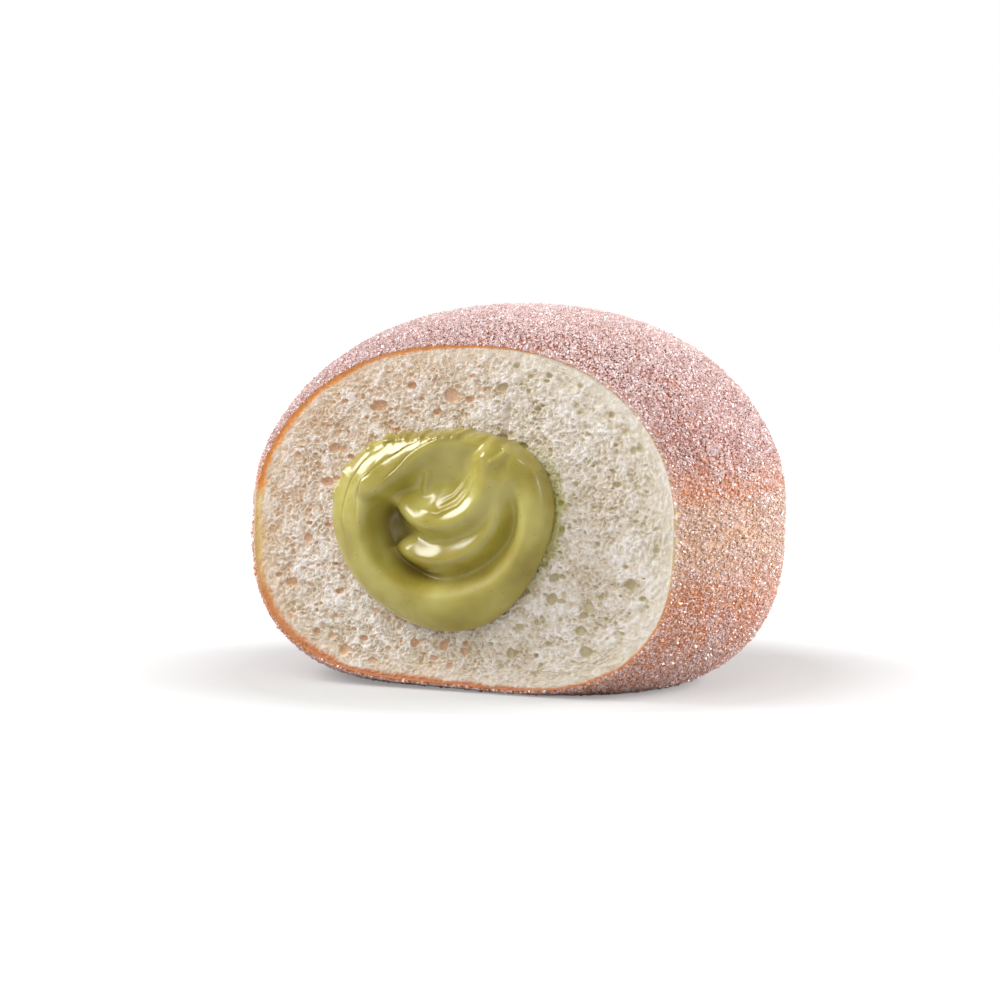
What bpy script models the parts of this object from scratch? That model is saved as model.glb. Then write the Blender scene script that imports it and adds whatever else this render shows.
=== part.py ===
"""A cream-filled doughnut with a slice cut off its front.

The doughnut is a round, tall cushion of fried dough that rests on a small flat. A straight vertical cut
takes off its front and shows the crumb and a pocket of pistachio cream, which swells out of the cut in
folds. Two solids: "dough" and "cream". The cream runs on into the dough as a closed, egg-shaped pocket.

Blender 4.5, metres, +Z up, the cut face towards -Y. Run with: blender --background --python part.py
"""

from math import atan2, cos, hypot, pi, radians, sin, sqrt

import bmesh
import bpy
from mathutils import Matrix, Vector

MM = 0.001

# The dough: a turned cushion, a little shallower than it is wide.
WIDEST_RADIUS = 41.0 * MM
DEPTH_RATIO = 0.90
CROWN_HEIGHT = 30.2 * MM  # from the widest ring up to the crown
FOOT_HEIGHT = 28.8 * MM  # from the widest ring down to the rounded foot
CROWN_FULLNESS = 1.92  # exponent of the section above the ring: 2 is an ellipse
FOOT_FULLNESS = 2.92  # below it the section is squarer
FLAT_HEIGHT = 26.9 * MM  # the foot is flattened this far below the ring
# Low swellings round the section, seen from the front: (waves in a turn, share of the radius, turned by)
SWELLINGS = ((2, 0.0145, radians(27)), (3, 0.012, radians(-135)), (4, 0.0155, radians(155)))
BACK_SHARE = 0.3  # what is left of the swellings at the back
DOUGH_SEGMENTS = 56
DOUGH_RINGS = 30

# The cut, in front of the doughnut's axis.
CUT_DEPTH = 20.6 * MM

# The cream: its middle on the cut face, measured from the axis and the widest ring, and its outline.
CREAM_X = -2.5 * MM
CREAM_Z = -2.3 * MM
CREAM_HALF_WIDTH = 17.5 * MM
CREAM_HALF_HEIGHT = 15.6 * MM
# The outline's swellings, in the same form as the dough's
CREAM_SWELLINGS = ((2, 0.038, radians(21)), (3, 0.059, radians(106)), (4, 0.012, radians(157)))
POCKET_SHARE = 0.88  # the pocket's mouth, as a share of the cream's outline
POCKET_DEPTH = 33.0 * MM
POCKET_RINGS = 16
POCKET_MOUTH_ANGLE = radians(70)  # how far down from its front pole the pocket's cutter is straight-sided
GAP = 0.3 * MM  # kept between cream and dough
EDGE_HEIGHT = 0.5 * MM  # how far the cream's edge stands off the cut face

# The outer roll of cream: its crest is a loop about its own middle, dented at the upper left.
ROLL_MIDDLE = (2.2 * MM, 1.0 * MM)
ROLL_RADIUS = 12.2 * MM
ROLL_OVAL = 0.9 * MM  # how much wider than high the loop is, each way
ROLL_OVAL_TURN = radians(12)
ROLL_DENT = 2.1 * MM
ROLL_DENT_AT = radians(137)
ROLL_DENT_SPREAD = radians(24)
ROLL_HEIGHT = 5.6 * MM
ROLL_WALL = 3.0 * MM  # from its crest in to the hollow
HOLLOW_HEIGHT = 1.7 * MM
# The folds inside it, each a ridge along an arc, steep on its outer side:
# (middle x, middle z, arc radius, growth of the radius to its ends, start, end, height, inner width)
FOLDS = (
    (1.3 * MM, 4.6 * MM, 9.2 * MM, 1.5 * MM, radians(-128), radians(45), 4.6 * MM, 4.2 * MM),
    (1.5 * MM, 8.5 * MM, 7.4 * MM, 0.4 * MM, radians(-145), radians(28), 5.4 * MM, 5.0 * MM),
)
FOLD_NOSE = 3.4 * MM  # the width of a fold's outer side
FOLD_TAPER = radians(48)
CREASE_SHARPNESS = 7.0
CREAM_SEGMENTS = 80
CREAM_FRONT_RINGS = 30
CREAM_BACK_RINGS = 7


def clear_scene():
    for obj in list(bpy.data.objects):
        bpy.data.objects.remove(obj, do_unlink=True)


def new_collection(name):
    made = bpy.data.collections.new(name)
    bpy.context.scene.collection.children.link(made)
    return made


def make_material(name, colour, roughness, metallic=0.0):
    """A Principled material; colour is linear red, green and blue."""
    material = bpy.data.materials.new(name)
    material.use_nodes = True
    shader = material.node_tree.nodes["Principled BSDF"]
    shader.inputs["Base Color"].default_value = (*colour, 1.0)
    shader.inputs["Roughness"].default_value = roughness
    shader.inputs["Metallic"].default_value = metallic
    return material


def sphere_object(name, segments, rings, reshape, collection):
    """A UV sphere of radius 1 whose every vertex is moved to reshape(vertex position)."""
    shape = bmesh.new()
    bmesh.ops.create_uvsphere(shape, u_segments=segments, v_segments=rings, radius=1.0)
    for vertex in shape.verts:
        vertex.co = reshape(vertex.co)
    mesh = bpy.data.meshes.new(name)
    shape.to_mesh(mesh)
    shape.free()
    mesh.shade_smooth()
    obj = bpy.data.objects.new(name, mesh)
    collection.objects.link(obj)
    return obj


def smooth_step(share):
    """0 below 0 and 1 above 1, with a soft S between."""
    share = min(max(share, 0.0), 1.0)
    return share * share * (3.0 - 2.0 * share)


def swell(swellings, angle):
    """1, plus the low waves of a lopsided outline at this angle."""
    return 1.0 + sum(share * cos(waves * angle - turn) for waves, share, turn in swellings)


def dough_point(unit):
    """A point of the unit sphere moved onto the dough: a superellipse section, turned about Z."""
    crown = unit.z > 0.0
    height = CROWN_HEIGHT if crown else FOOT_HEIGHT
    fullness = CROWN_FULLNESS if crown else FOOT_FULLNESS
    level = min(abs(unit.z), 1.0)
    radius = WIDEST_RADIUS * max(1.0 - level**fullness, 0.0) ** (1.0 / fullness)
    turn = atan2(unit.y, unit.x)
    x = radius * cos(turn)
    y = radius * sin(turn) * DEPTH_RATIO
    z = height * unit.z
    # The swellings fade out towards the middle, where their angle has no meaning, and towards the back.
    reach = min(hypot(x, z) / (0.5 * WIDEST_RADIUS), 1.0)
    behind = smooth_step(y / (WIDEST_RADIUS * DEPTH_RATIO))
    grown = 1.0 + (swell(SWELLINGS, atan2(z, x)) - 1.0) * reach * (1.0 - (1.0 - BACK_SHARE) * behind)
    return Vector((x * grown, y, max(z * grown, -FLAT_HEIGHT)))


def cream_outline(angle):
    """The cream's edge on the cut face, from its middle: (x, z) at this angle, seen from the front."""
    grown = swell(CREAM_SWELLINGS, angle)
    return CREAM_HALF_WIDTH * grown * cos(angle), CREAM_HALF_HEIGHT * grown * sin(angle)


def roll_height(x, z, to_edge):
    """The outer roll: highest along its loop, round out to the edge, falling inwards to the hollow.

    to_edge is how far the edge of the cream still is.
    """
    middle_x, middle_z = ROLL_MIDDLE
    angle = atan2(z - middle_z, x - middle_x)
    from_dent = abs((angle - ROLL_DENT_AT + pi) % (2.0 * pi) - pi)
    crest = ROLL_RADIUS + ROLL_OVAL * cos(2.0 * (angle - ROLL_OVAL_TURN))
    crest -= ROLL_DENT * (1.0 - smooth_step(from_dent / (2.0 * ROLL_DENT_SPREAD)))
    outwards = hypot(x - middle_x, z - middle_z) - crest
    if outwards > 0.0:
        share = outwards / (outwards + to_edge)
        return EDGE_HEIGHT + (ROLL_HEIGHT - EDGE_HEIGHT) * sqrt(max(1.0 - share**2, 0.0))
    return ROLL_HEIGHT - (ROLL_HEIGHT - HOLLOW_HEIGHT) * smooth_step(-outwards / ROLL_WALL)


def fold_height(x, z, fold):
    """One inner fold: highest along its arc, tapered at both ends."""
    middle_x, middle_z, arc, growth, start, end, height, inner_width = fold
    angle = atan2(z - middle_z, x - middle_x)
    from_middle = (angle - (start + end) / 2.0) / ((end - start) / 2.0)
    outwards = hypot(x - middle_x, z - middle_z) - arc - growth * from_middle**2
    width = FOLD_NOSE if outwards > 0.0 else inner_width
    taper = smooth_step((angle - start) / FOLD_TAPER) * smooth_step((end - angle) / FOLD_TAPER)
    return height * taper * (1.0 - smooth_step(abs(outwards) / width))


def swirl_height(share, angle):
    """How far the cream stands off the cut face, at a share of its outline and an angle."""
    edge_x, edge_z = cream_outline(angle)
    x, z = edge_x * share, edge_z * share
    heights = [roll_height(x, z, (1.0 - share) * hypot(edge_x, edge_z))]
    heights += [fold_height(x, z, fold) for fold in FOLDS]
    # A soft maximum, so that the folds meet in rounded creases
    highest = max(heights)
    powers = sum((height / highest) ** CREASE_SHARPNESS for height in heights)
    return highest * powers ** (1.0 / CREASE_SHARPNESS)


def pocket_point(angle, back, grow):
    """A point of the pocket's wall: back runs from 0 at the cut to 1 at its rounded end, behind the cut."""
    edge_x, edge_z = cream_outline(angle)
    narrowing = sqrt(max(1.0 - back**2, 0.0)) * POCKET_SHARE
    scale = narrowing * (1.0 + grow / hypot(edge_x, edge_z))
    depth = back * (POCKET_DEPTH + grow)
    return Vector((CREAM_X + edge_x * scale, depth - CUT_DEPTH, CREAM_Z + edge_z * scale))


def ring_of(unit, rings):
    """Which ring of a UV sphere a point is on, counted from its +Z pole."""
    return round(atan2(hypot(unit.x, unit.y), unit.z) / pi * rings)


def cream_point(unit):
    """A point of the unit sphere moved onto the cream: folds in front, a rounded pocket behind."""
    rings = CREAM_FRONT_RINGS + CREAM_BACK_RINGS
    ring = ring_of(unit, rings)
    angle = atan2(unit.y, unit.x)
    if ring <= CREAM_FRONT_RINGS:
        # Rings lie closer together towards the edge, where the outer roll turns down.
        share = sin(0.5 * pi * ring / CREAM_FRONT_RINGS)
        edge_x, edge_z = cream_outline(angle)
        depth = -CUT_DEPTH - swirl_height(share, angle)
        return Vector((CREAM_X + edge_x * share, depth, CREAM_Z + edge_z * share))
    behind = ring - CREAM_FRONT_RINGS
    if behind == 1:  # the lip's underside, back to the pocket's mouth
        point = pocket_point(angle, 0.0, 0.0)
        return point + Vector((0.0, -GAP, 0.0))
    back = sin(0.5 * pi * (behind - 1) / (CREAM_BACK_RINGS - 1))
    return pocket_point(angle, back, 0.0)


def pocket_cutter_point(unit):
    """A point of the unit sphere moved onto the pocket grown by the gap, its mouth drawn out forwards."""
    angle = atan2(unit.y, unit.x)
    if unit.z > 0.0:
        edge = pocket_point(angle, 0.0, GAP)
        flat = hypot(unit.x, unit.y)
        share = min(flat / sin(POCKET_MOUTH_ANGLE), 1.0)
        middle = Vector((CREAM_X, edge.y, CREAM_Z))
        return middle.lerp(edge, share) + Vector((0.0, -unit.z * POCKET_DEPTH, 0.0))
    return pocket_point(angle, min(-unit.z, 1.0), GAP)


def cut_away(target, cutter):
    """Takes the cutter's shape out of the target, exactly."""
    modifier = target.modifiers.new("cut_" + cutter.name, "BOOLEAN")
    modifier.operation = "DIFFERENCE"
    modifier.solver = "EXACT"
    modifier.object = cutter
    cutter.hide_render = True
    cutter.display_type = "WIRE"


def make_cut_box(collection):
    """A box in front of the cut, larger than the doughnut."""
    side = 4.0 * WIDEST_RADIUS
    shape = bmesh.new()
    bmesh.ops.create_cube(shape, size=side, matrix=Matrix.Translation((0.0, -CUT_DEPTH - side / 2, 0.0)))
    mesh = bpy.data.meshes.new("slice_cutter")
    shape.to_mesh(mesh)
    shape.free()
    obj = bpy.data.objects.new("slice_cutter", mesh)
    collection.objects.link(obj)
    return obj


def make_dough(parts, cutters):
    dough = sphere_object("dough", DOUGH_SEGMENTS, DOUGH_RINGS, dough_point, parts)
    dough.data.materials.append(make_material("fried_dough", (0.63, 0.37, 0.20), 0.75))
    cut_away(dough, make_cut_box(cutters))
    pocket = sphere_object("pocket_cutter", CREAM_SEGMENTS, POCKET_RINGS, pocket_cutter_point, cutters)
    cut_away(dough, pocket)
    return dough


def make_cream(parts):
    cream = sphere_object("cream", CREAM_SEGMENTS, CREAM_FRONT_RINGS + CREAM_BACK_RINGS, cream_point, parts)
    cream.data.materials.append(make_material("pistachio_cream", (0.40, 0.32, 0.09), 0.3))
    return cream


def stand_on_origin(parts, helpers):
    """Parents everything to an empty that puts the object's box over the origin, its foot at height 0."""
    bpy.context.view_layer.update()
    graph = bpy.context.evaluated_depsgraph_get()
    corners = [Vector(c) for part in parts for c in part.evaluated_get(graph).bound_box]
    low = Vector([min(c[i] for c in corners) for i in range(3)])
    high = Vector([max(c[i] for c in corners) for i in range(3)])
    stand = bpy.data.objects.new("stand", None)
    bpy.context.scene.collection.objects.link(stand)
    stand.location = (-(low.x + high.x) / 2, -(low.y + high.y) / 2, -low.z)
    for obj in parts + helpers:
        obj.parent = stand


def main():
    clear_scene()
    doughnut = new_collection("filled_doughnut")
    cutters = new_collection("cutters")
    dough = make_dough(doughnut, cutters)
    cream = make_cream(doughnut)
    stand_on_origin([dough, cream], list(cutters.objects))


main()
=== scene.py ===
"""The looks of a sugared, cream-filled doughnut with its front sliced off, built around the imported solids."""

import bmesh
import bpy
import numpy as np
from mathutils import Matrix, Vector


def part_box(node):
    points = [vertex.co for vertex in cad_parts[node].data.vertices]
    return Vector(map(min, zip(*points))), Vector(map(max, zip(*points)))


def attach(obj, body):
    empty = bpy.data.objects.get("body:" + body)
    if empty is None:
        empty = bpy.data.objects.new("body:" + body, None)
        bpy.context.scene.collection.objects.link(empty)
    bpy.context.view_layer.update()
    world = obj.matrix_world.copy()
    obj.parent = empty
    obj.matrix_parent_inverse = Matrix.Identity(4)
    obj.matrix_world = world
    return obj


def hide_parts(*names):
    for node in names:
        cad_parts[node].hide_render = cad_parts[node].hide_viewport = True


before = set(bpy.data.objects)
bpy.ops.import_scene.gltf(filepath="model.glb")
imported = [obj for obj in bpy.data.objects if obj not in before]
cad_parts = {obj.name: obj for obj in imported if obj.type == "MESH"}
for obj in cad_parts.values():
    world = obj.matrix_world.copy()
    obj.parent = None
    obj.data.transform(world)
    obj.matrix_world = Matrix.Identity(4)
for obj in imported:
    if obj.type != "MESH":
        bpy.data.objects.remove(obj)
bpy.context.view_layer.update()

# ---------------------------------------------------------------------------------------------------------
# Crust: the skin of the fried dough. It is brown above and below, where it lay in the oil, with a paler
# belt at mid-height that stayed above the oil. The skin is thin, finely wrinkled, and open at the slice.
# ---------------------------------------------------------------------------------------------------------

MM = 0.001
WIDEST_RADIUS = 41.0 * MM
DEPTH_RATIO = 0.90
CROWN_HEIGHT = 30.2 * MM
FOOT_HEIGHT = 28.8 * MM
CROWN_FULLNESS = 1.92
FOOT_FULLNESS = 2.92
FLAT_HEIGHT = 26.9 * MM
SWELLINGS = ((2, 0.0145, np.radians(27)), (3, 0.012, np.radians(-135)), (4, 0.0155, np.radians(155)))
BACK_SHARE = 0.3
CUT_DEPTH = 20.6 * MM
CRUST_COLUMNS = 360
CRUST_ROWS = 160
CRUST_CAP_COLUMNS = 24
CRUST_CAP_INSET = 3.4 * MM  # the shell is closed this far behind the slice


def smooth_step(share):
    """3s^2 - 2s^3, with s held between 0 and 1."""
    share = np.clip(share, 0.0, 1.0)
    return share * share * (3.0 - 2.0 * share)


def swell(swellings, angle):
    """1 plus a sum of cosines: share x cos(waves x angle - turn)."""
    return 1.0 + sum(share * np.cos(waves * angle - turn) for waves, share, turn in swellings)


def section_radius(level):
    """Superellipse: radius = R (1 - |level|^n)^(1/n), with one n above the belt and another below."""
    fullness = np.where(level > 0.0, CROWN_FULLNESS, FOOT_FULLNESS)
    return WIDEST_RADIUS * np.clip(1.0 - np.abs(level) ** fullness, 0.0, 1.0) ** (1.0 / fullness)


def dough_form(turn, level):
    """The section turned about Z and squeezed in depth, then swollen by an angle seen from the front."""
    radius = section_radius(level)
    x = radius * np.cos(turn)
    y = radius * np.sin(turn) * DEPTH_RATIO
    z = np.where(level > 0.0, CROWN_HEIGHT, FOOT_HEIGHT) * level
    reach = np.clip(np.hypot(x, z) / (0.5 * WIDEST_RADIUS), 0.0, 1.0)
    behind = smooth_step(y / (WIDEST_RADIUS * DEPTH_RATIO))
    grown = 1.0 + (swell(SWELLINGS, np.arctan2(z, x)) - 1.0) * reach * (1.0 - (1.0 - BACK_SHARE) * behind)
    return np.stack([x * grown, y, np.maximum(z * grown, -FLAT_HEIGHT)], -1)


def kept_turn(share, level):
    """The angle about Z at a share of the way round, from the slice's right edge to its left edge."""
    depth = np.maximum(section_radius(level) * DEPTH_RATIO, 1e-9)
    half_gap = np.arccos(np.clip(CUT_DEPTH / depth, -1.0, 1.0))
    return -np.pi / 2 + half_gap + share * 2.0 * (np.pi - half_gap)


dough_low, dough_high = (np.array(corner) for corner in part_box("dough"))
around = dough_form(*np.meshgrid(np.linspace(0.0, 2.0 * np.pi, 361), np.sin(np.linspace(-1.5, 1.5, 181))))
AXIS = np.array(
    [
        (dough_low[0] + dough_high[0] - around[..., 0].min() - around[..., 0].max()) / 2.0,
        dough_low[1] + CUT_DEPTH,
        dough_low[2] + FLAT_HEIGHT,
    ]
)


def hashed(cells, seed):
    """A fixed pseudo-random number from 0 to 1 for each whole-numbered cell, by mixing its bits."""
    mixed = cells.astype(np.int64) @ np.array([374761393, 668265263, 2147483647]) + seed * 1274126177
    mixed = (mixed ^ (mixed >> 13)) * 1103515245 & 0x7FFFFFFF
    mixed = (mixed ^ (mixed >> 15)) * 747796405 & 0x7FFFFFFF
    return ((mixed ^ (mixed >> 12)) & 0xFFFFF) / float(0x100000)


CORNERS = np.array([(i, j, k) for i in (0, 1) for j in (0, 1) for k in (0, 1)])


def noise(points, size, seed, octaves=1):
    """Value noise from -1 to 1: a smooth blend of eight corners' numbers; each octave is half as large."""
    total = np.zeros(points.shape[:-1])
    strength = 0.0
    for octave in range(octaves):
        scaled = points * (2.0**octave / size)
        base = np.floor(scaled)
        near = smooth_step(scaled - base)
        value = np.zeros(points.shape[:-1])
        for corner in CORNERS:
            weight = np.prod(np.where(corner, near, 1.0 - near), -1)
            value += weight * hashed(base + corner, seed + octave)
        total += (2.0 * value - 1.0) * 0.5**octave
        strength += 0.5**octave
    return total / strength


def outward_normals(grid):
    """Unit normals of a grid of points, from the cross product of its two directions."""
    normal = np.cross(np.gradient(grid, axis=1), np.gradient(grid, axis=0))
    return normal / np.maximum(np.linalg.norm(normal, axis=-1, keepdims=True), 1e-12)


def grid_faces(rows, columns, wrap=False):
    """The quads of a grid of points, row by row; with wrap the last column joins the first."""
    across = columns if wrap else columns - 1
    row, column = np.meshgrid(np.arange(rows - 1), np.arange(across), indexing="ij")
    beside = (column + 1) % columns
    here, above = row * columns, (row + 1) * columns
    return np.stack([here + column, here + beside, above + beside, above + column], -1).reshape(-1, 4)


def mesh_object(name, points, faces, merge=True, layers=()):
    """A smooth-shaded mesh object of these points and faces, with a number a point in each named layer."""
    mesh = bpy.data.meshes.new(name)
    mesh.vertices.add(len(points))
    mesh.vertices.foreach_set("co", np.asarray(points, np.float32).ravel())
    sides = faces.shape[1]
    mesh.loops.add(faces.size)
    mesh.loops.foreach_set("vertex_index", faces.astype(np.int32).ravel())
    mesh.polygons.add(len(faces))
    mesh.polygons.foreach_set("loop_start", np.arange(0, faces.size, sides, dtype=np.int32))
    mesh.update(calc_edges=True)
    mesh.validate()
    for layer, values in dict(layers).items():
        data = mesh.attributes.new(layer, "FLOAT", "POINT").data
        data.foreach_set("value", np.asarray(values, np.float32).ravel())
    if merge:
        shape = bmesh.new()
        shape.from_mesh(mesh)
        bmesh.ops.remove_doubles(shape, verts=shape.verts, dist=1e-6)
        shape.to_mesh(mesh)
        shape.free()
    mesh.shade_smooth()
    piece = bpy.data.objects.new(name, mesh)
    bpy.context.scene.collection.objects.link(piece)
    return piece


class Shader:
    """A Principled material with short ways to add and join nodes."""

    def __init__(self, name, **values):
        self.material = bpy.data.materials.new(name)
        self.material.use_nodes = True
        self.nodes = self.material.node_tree.nodes
        self.links = self.material.node_tree.links
        self.surface = self.nodes["Principled BSDF"]
        for socket, value in values.items():
            self.surface.inputs[socket.replace("_", " ")].default_value = value

    def add(self, kind, inputs=(), **settings):
        node = self.nodes.new("ShaderNode" + kind)
        for key, value in settings.items():
            setattr(node, key, value)
        for socket, value in dict(inputs).items():
            if isinstance(value, bpy.types.NodeSocket):
                self.links.new(value, node.inputs[socket])
            else:
                node.inputs[socket].default_value = value
        return node

    def place(self):
        return self.add("TexCoord").outputs["Object"]

    def noise(self, place, size, detail=2.0, roughness=0.5):
        settings = {"Vector": place, "Scale": 1.0 / size, "Detail": detail, "Roughness": roughness}
        return self.add("TexNoise", settings).outputs["Fac"]

    def ramp(self, factor, stops, interpolation="LINEAR"):
        node = self.add("ValToRGB", {"Fac": factor})
        node.color_ramp.interpolation = interpolation
        elements = node.color_ramp.elements
        while len(elements) < len(stops):
            elements.new(0.5)
        for element, (position, colour) in zip(elements, stops):
            element.position = position
            element.color = colour if len(colour) == 4 else (*colour, 1.0)
        return node.outputs["Color"]

    def mix(self, factor, first, second, blend="MIX"):
        node = self.add("Mix", data_type="RGBA", blend_type=blend)
        for socket, value in ((0, factor), (6, first), (7, second)):
            if isinstance(value, bpy.types.NodeSocket):
                self.links.new(value, node.inputs[socket])
            else:
                node.inputs[socket].default_value = value
        return node.outputs[2]

    def math(self, operation, first, second=0.0, third=0.0, clamp=False):
        inputs = {0: first, 1: second, 2: third}
        return self.add("Math", inputs, operation=operation, use_clamp=clamp).outputs[0]

    def join(self, output, socket):
        self.links.new(output, self.surface.inputs[socket])

    def bump(self, height, distance, strength=1.0):
        node = self.add("Bump", {"Height": height, "Distance": distance, "Strength": strength})
        self.join(node.outputs["Normal"], "Normal")


def linear(red, green, blue):
    """A named colour's linear values, from its usual 0 to 255 ones."""
    share = np.array([red, green, blue]) / 255.0
    bright = ((share + 0.055) / 1.055) ** 2.4
    return (*(float(v) for v in np.where(share > 0.04045, bright, share / 12.92)), 1.0)


levels = np.sin(np.linspace(-np.pi / 2, np.pi / 2, CRUST_ROWS))[:, None]
shares = np.linspace(0.0, 1.0, CRUST_COLUMNS)[None, :]
skin = dough_form(kept_turn(shares, levels), levels * np.ones_like(shares))
lift = 0.22 * MM * noise(skin, 9.0 * MM, 11, 3) + 0.07 * MM * noise(skin, 1.4 * MM, 12, 3) - 0.12 * MM
edge_fade = smooth_step((skin[..., 1] + CUT_DEPTH) / (3.0 * MM))
foot_fade = smooth_step((skin[..., 2] + FLAT_HEIGHT) / (1.0 * MM))
skin = skin + outward_normals(skin) * (lift * edge_fade * foot_fade)[..., None]
# The cap runs straight across behind the slice, from the left edge back to the right one.
across = np.linspace(0.0, 1.0, CRUST_CAP_COLUMNS + 2)[1:-1, None]
cap = skin[:, -1:, :] * (1.0 - across) + skin[:, :1, :] * across
cap[..., 1] = np.maximum(cap[..., 1], -CUT_DEPTH + CRUST_CAP_INSET)
crust_points = np.concatenate([skin, cap], 1) + AXIS
crust = mesh_object(
    "crust",
    crust_points.reshape(-1, 3),
    grid_faces(CRUST_ROWS, CRUST_COLUMNS + CRUST_CAP_COLUMNS, wrap=True),
)

CRUST_BROWN = linear(182, 106, 76)
CRUST_ORANGE = linear(226, 146, 78)
CRUST_RUSSET = linear(216, 136, 84)
CRUST_BELT = linear(224, 184, 148)
CRUST_PALE_EDGE = linear(226, 204, 164)  # at the slice's right, where the crumb runs out to the sugar
SUGAR_DUST = linear(226, 190, 180)
# The browning by height above the doughnut's middle: (millimetres, colour)
BROWNING = (
    (-27.0, CRUST_RUSSET),
    (-13.0, CRUST_ORANGE),
    (-6.5, CRUST_BELT),
    (1.2, CRUST_BELT),
    (3.2, CRUST_ORANGE),
    (9.0, CRUST_BROWN),
    (30.0, CRUST_BROWN),
)
BROWNING_LOW, BROWNING_HIGH = BROWNING[0][0], BROWNING[-1][0]


def browned(shader, place, tones):
    """A ramp of the browning colours over height, whose limits wander up and down a little."""
    height = shader.add("SeparateXYZ", {"Vector": place}).outputs["Z"]
    wander = shader.math("MULTIPLY_ADD", shader.noise(place, 9.0 * MM, 3.0), 5.0 * MM, -2.5 * MM)
    low = float(AXIS[2]) + BROWNING_LOW * MM
    high = float(AXIS[2]) + BROWNING_HIGH * MM
    wandering = shader.math("ADD", height, wander)
    share = shader.add("MapRange", {"Value": wandering, 1: low, 2: high}).outputs["Result"]
    span = BROWNING_HIGH - BROWNING_LOW
    return shader.ramp(share, [((level - BROWNING_LOW) / span, colour) for level, colour in tones])


fried = Shader("fried_crust", Roughness=0.62)
place = fried.place()
mottle_tones = ((0.35, (0.86, 0.84, 0.82)), (0.65, (1.06, 1.06, 1.06)))
mottle = fried.ramp(fried.noise(place, 3.5 * MM, 4.0, 0.6), mottle_tones)
skin_colour = fried.mix(1.0, browned(fried, place, BROWNING), mottle, "MULTIPLY")
dust = fried.ramp(fried.noise(place, 0.55 * MM, 3.0, 0.6), ((0.42, (0, 0, 0)), (0.6, (1, 1, 1))))
dusting = fried.math("MULTIPLY_ADD", fried.noise(place, 11.0 * MM), 0.8, 0.15)
dusted = fried.math("MULTIPLY", dust, dusting, clamp=True)
spot = fried.add("SeparateXYZ", {"Vector": place}).outputs
slice_y = float(AXIS[1]) - CUT_DEPTH
edge_band = {"Value": spot["Y"], 1: slice_y + 0.9 * MM, 2: slice_y + 0.3 * MM}
by_slice = fried.add("MapRange", edge_band).outputs["Result"]
on_right = fried.add("MapRange", {"Value": spot["X"], 1: 10.0 * MM, 2: 20.0 * MM}).outputs["Result"]
on_upper = fried.add("MapRange", {"Value": spot["Z"], 1: 12.0 * MM, 2: 20.0 * MM}).outputs["Result"]
pale_edge = fried.math("MULTIPLY", by_slice, fried.math("MULTIPLY", on_right, on_upper))
sugared = fried.mix(dusted, skin_colour, SUGAR_DUST)
fried.join(fried.mix(pale_edge, sugared, CRUST_PALE_EDGE), "Base Color")
fried.bump(fried.noise(place, 0.5 * MM, 3.0, 0.6), 0.12 * MM, 0.8)
crust.data.materials.append(fried.material)
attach(crust, "root")
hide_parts("dough")

# ---------------------------------------------------------------------------------------------------------
# Filling: pistachio cream, piped into the dough. It swells out of the slice in soft folds: an outer roll
# with drag lines on its left, two folds curled inside it, and a hollow with a small string at its top.
# ---------------------------------------------------------------------------------------------------------

CREAM_MIDDLE = np.array([-2.5 * MM, -2.3 * MM])
CREAM_HALF_WIDTH = 17.5 * MM
CREAM_HALF_HEIGHT = 15.6 * MM
CREAM_SWELLINGS = ((2, 0.038, np.radians(21)), (3, 0.059, np.radians(106)), (4, 0.012, np.radians(157)))
POCKET_SHARE = 0.88
POCKET_DEPTH = 12.0 * MM
CREAM_EDGE = 0.5 * MM
ROLL_MIDDLE = (2.2 * MM, 1.0 * MM)
ROLL_RADIUS = 12.2 * MM
ROLL_OVAL = 0.9 * MM
ROLL_OVAL_TURN = np.radians(12)
ROLL_DENT = 2.1 * MM
ROLL_DENT_AT = np.radians(137)
ROLL_DENT_SPREAD = np.radians(24)
ROLL_HEIGHT = 5.6 * MM
HOLLOW_HEIGHT = 1.4 * MM
# How much higher the hollow is at its top: (how much, direction, spread)
HOLLOW_RAISED = (2.7 * MM, np.radians(92), np.radians(60))
WALL_NARROW = 2.1 * MM
WALL_WIDE = 4.8 * MM
# Where the hollow is deepest: (depth, direction, spread)
TRENCHES = ((5.0 * MM, np.radians(206), np.radians(36)), (4.4 * MM, np.radians(10), np.radians(36)))
TRENCH_REACH = 2.4 * MM
# Where the roll is lower: (how much, direction, spread)
ROLL_SINKS = ((1.3 * MM, np.radians(-82), np.radians(55)), (1.6 * MM, np.radians(50), np.radians(34)))
SOFTENING = 60  # passes that round the roll's and the folds' crests
DRAG_FROM = np.radians(146)
DRAG_SPREAD = np.radians(72)
DRAG_HEIGHT = 0.50 * MM
DRAG_LINES = 3.1
# (middle x and z, arc radius and its growth towards the ends, start, end, height, underside's width, slope)
FOLDS = (
    (1.3 * MM, 4.6 * MM, 9.3 * MM, 1.3 * MM, np.radians(-140), np.radians(60), 5.2 * MM, 2.5 * MM, 0.60),
    (1.5 * MM, 8.5 * MM, 7.9 * MM, 0.3 * MM, np.radians(-156), np.radians(48), 6.4 * MM, 3.1 * MM, 0.85),
)
CREST_ROUND = 0.7 * MM
FOLD_START = 0.60
FOLD_RISE = np.radians(55)
FOLD_BLUNT = np.radians(17)
FOLD_TAPER = np.radians(34)
CREASE_SHARPNESS = 16.0
LOWEST = 4.0 * MM
LEVELLED_FROM = 5.8 * MM  # above this height the crests level off, by at most LEVELLED_BY
LEVELLED_BY = 1.3 * MM
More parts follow.
